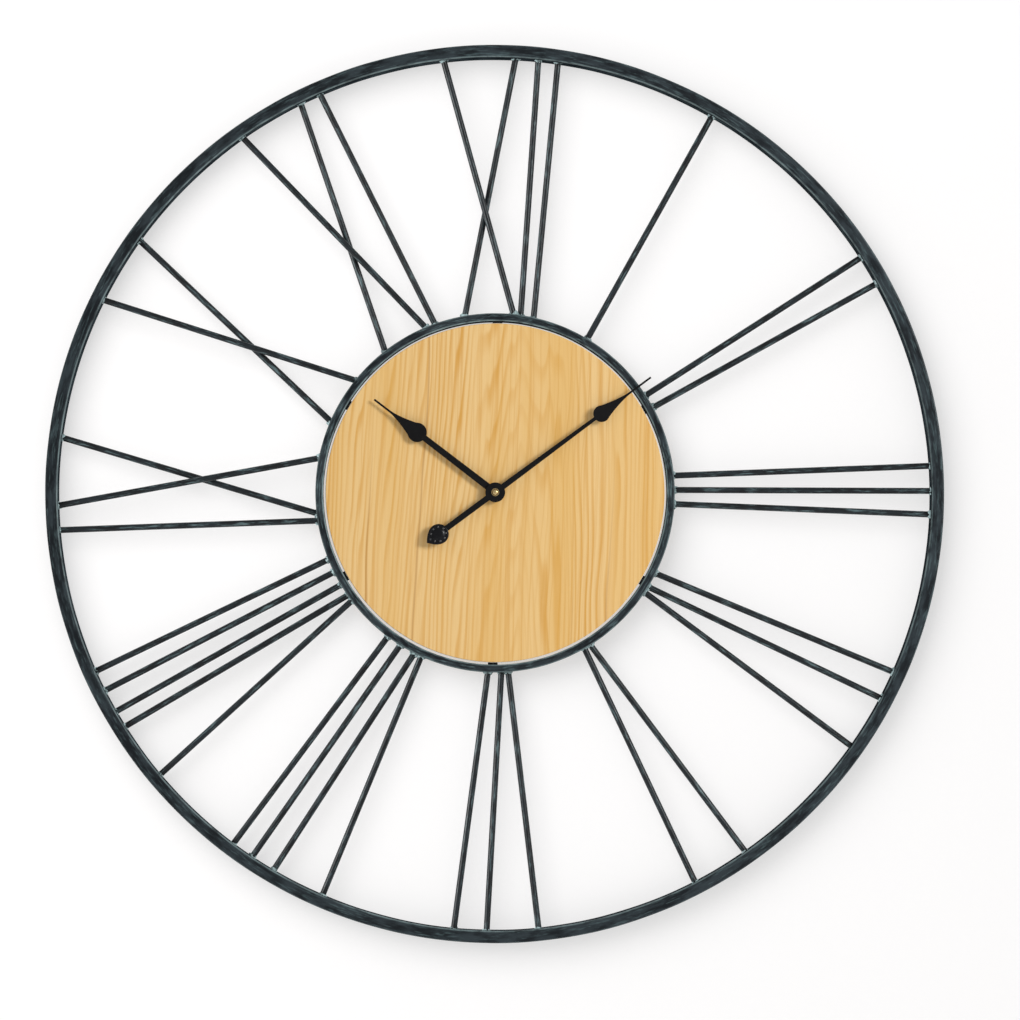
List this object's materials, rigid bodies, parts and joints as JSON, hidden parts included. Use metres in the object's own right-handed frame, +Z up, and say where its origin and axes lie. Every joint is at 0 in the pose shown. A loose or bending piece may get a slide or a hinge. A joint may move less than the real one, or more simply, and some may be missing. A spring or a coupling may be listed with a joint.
{
  "type": "wall clock",
  "caption": "Large round skeleton wall clock with rod numerals between a steel hoop and ring, a wooden dial board, spade hands and a battery movement.",
  "frame": {"origin": "on the axis of the hands, halfway between the wall and the front of the hand nut", "axes": "+Z up towards twelve, +Y into the wall, the dial faces -Y"},
  "size_m": [0.8, 0.036, 0.8],
  "materials": {
    "hoop": "brushed gunmetal lacquer, worn light along the edges",
    "rods": "gunmetal lacquer with light brushed streaks",
    "board": "clear satin lacquer on pine, grain upright",
    "tabs": "satin black",
    "screws": "zinc plated",
    "hanger": "satin black",
    "hands": "matt black",
    "weight": "gloss black enamel with a border of small beads",
    "brass": "turned",
    "case": "fine spark texture",
    "gears": "moulded",
    "iron": "stamped",
    "copper": "enamelled copper wire",
    "rubber": "matt",
    "card": "solder mask",
    "battery": "printed film sleeve with no lettering"
  },
  "bodies": {
    "frame": {"outer_hoop": "hoop", "inner_ring": "hoop", "numeral_1": "rods", "numeral_2": "rods", "numeral_3": "rods", "numeral_4": "rods", "numeral_5": "rods", "numeral_6": "rods", "numeral_7": "rods", "numeral_8": "rods", "numeral_9": "rods", "numeral_10": "rods", "numeral_11": "rods", "numeral_12": "rods", "hanger_plate": "hanger", "wood_board": "board", "board_tabs": "tabs", "tab_screws": "screws", "movement_case": "case", "movement_lid": "case", "bushing": "brass", "gasket": "rubber", "bushing_washer": "brass", "bushing_nut": "brass", "stator": "iron", "coil_core": "iron", "coil_bobbin": "gears", "coil_winding": "copper", "circuit_board": "card", "chip": "case", "quartz_crystal": "iron", "contact_spring": "iron", "contact_tab": "iron"},
    "minute": {"minute_arbor": "iron", "centre_wheel": "gears", "minute_boss": "brass", "minute_hand": "hands", "tail_weight": "weight", "hand_nut": "brass"},
    "hour": {"hour_wheel": "gears", "hour_collet": "brass", "hour_hand": "hands"},
    "motion": {"motion_wheel": "gears"},
    "knob": {"setting_knob": "case"},
    "third": {"third_wheel": "gears"},
    "second": {"second_wheel": "gears"},
    "step": {"step_wheel": "gears"},
    "rotor": {"rotor": "iron"},
    "battery": {"battery": "battery"}
  },
  "joints": [
    {"name": "minute_turn", "type": "hinge", "parent": "frame", "child": "minute", "pos_m": [0, 0, 0], "axis": [0, 1, 0], "continuous": true},
    {"name": "hour_turn", "type": "hinge", "parent": "frame", "child": "hour", "pos_m": [0, 0, 0], "axis": [0, 1, 0], "continuous": true},
    {"name": "motion_turn", "type": "hinge", "parent": "frame", "child": "motion", "pos_m": [-0.0096, 0, 0], "axis": [0, 1, 0], "continuous": true},
    {"name": "knob_turn", "type": "hinge", "parent": "frame", "child": "knob", "pos_m": [-0.01639, 0, 0.00679], "axis": [0, 1, 0], "continuous": true},
    {"name": "third_turn", "type": "hinge", "parent": "frame", "child": "third", "pos_m": [0.0045, 0, 0.00779], "axis": [0, 1, 0], "continuous": true},
    {"name": "second_turn", "type": "hinge", "parent": "frame", "child": "second", "pos_m": [0.01249, 0, 0.0107], "axis": [0, 1, 0], "continuous": true},
    {"name": "step_turn", "type": "hinge", "parent": "frame", "child": "step", "pos_m": [0.01634, 0, 0.01737], "axis": [0, 1, 0], "continuous": true},
    {"name": "rotor_turn", "type": "hinge", "parent": "frame", "child": "rotor", "pos_m": [0.00925, 0, 0.01862], "axis": [0, 1, 0], "continuous": true},
    {"name": "battery_slide", "type": "slide", "parent": "frame", "child": "battery", "axis": [0, 1, 0], "range_m": [0, 0.02]}
  ],
  "couplings": [
    {"joint": "hour_turn", "follows": "minute_turn", "ratio": 0.083333},
    {"joint": "motion_turn", "follows": "minute_turn", "ratio": -0.33333},
    {"joint": "knob_turn", "follows": "minute_turn", "ratio": 1},
    {"joint": "third_turn", "follows": "minute_turn", "ratio": -8},
    {"joint": "second_turn", "follows": "minute_turn", "ratio": 60},
    {"joint": "step_turn", "follows": "minute_turn", "ratio": -360},
    {"joint": "rotor_turn", "follows": "minute_turn", "ratio": 1800}
  ]
}
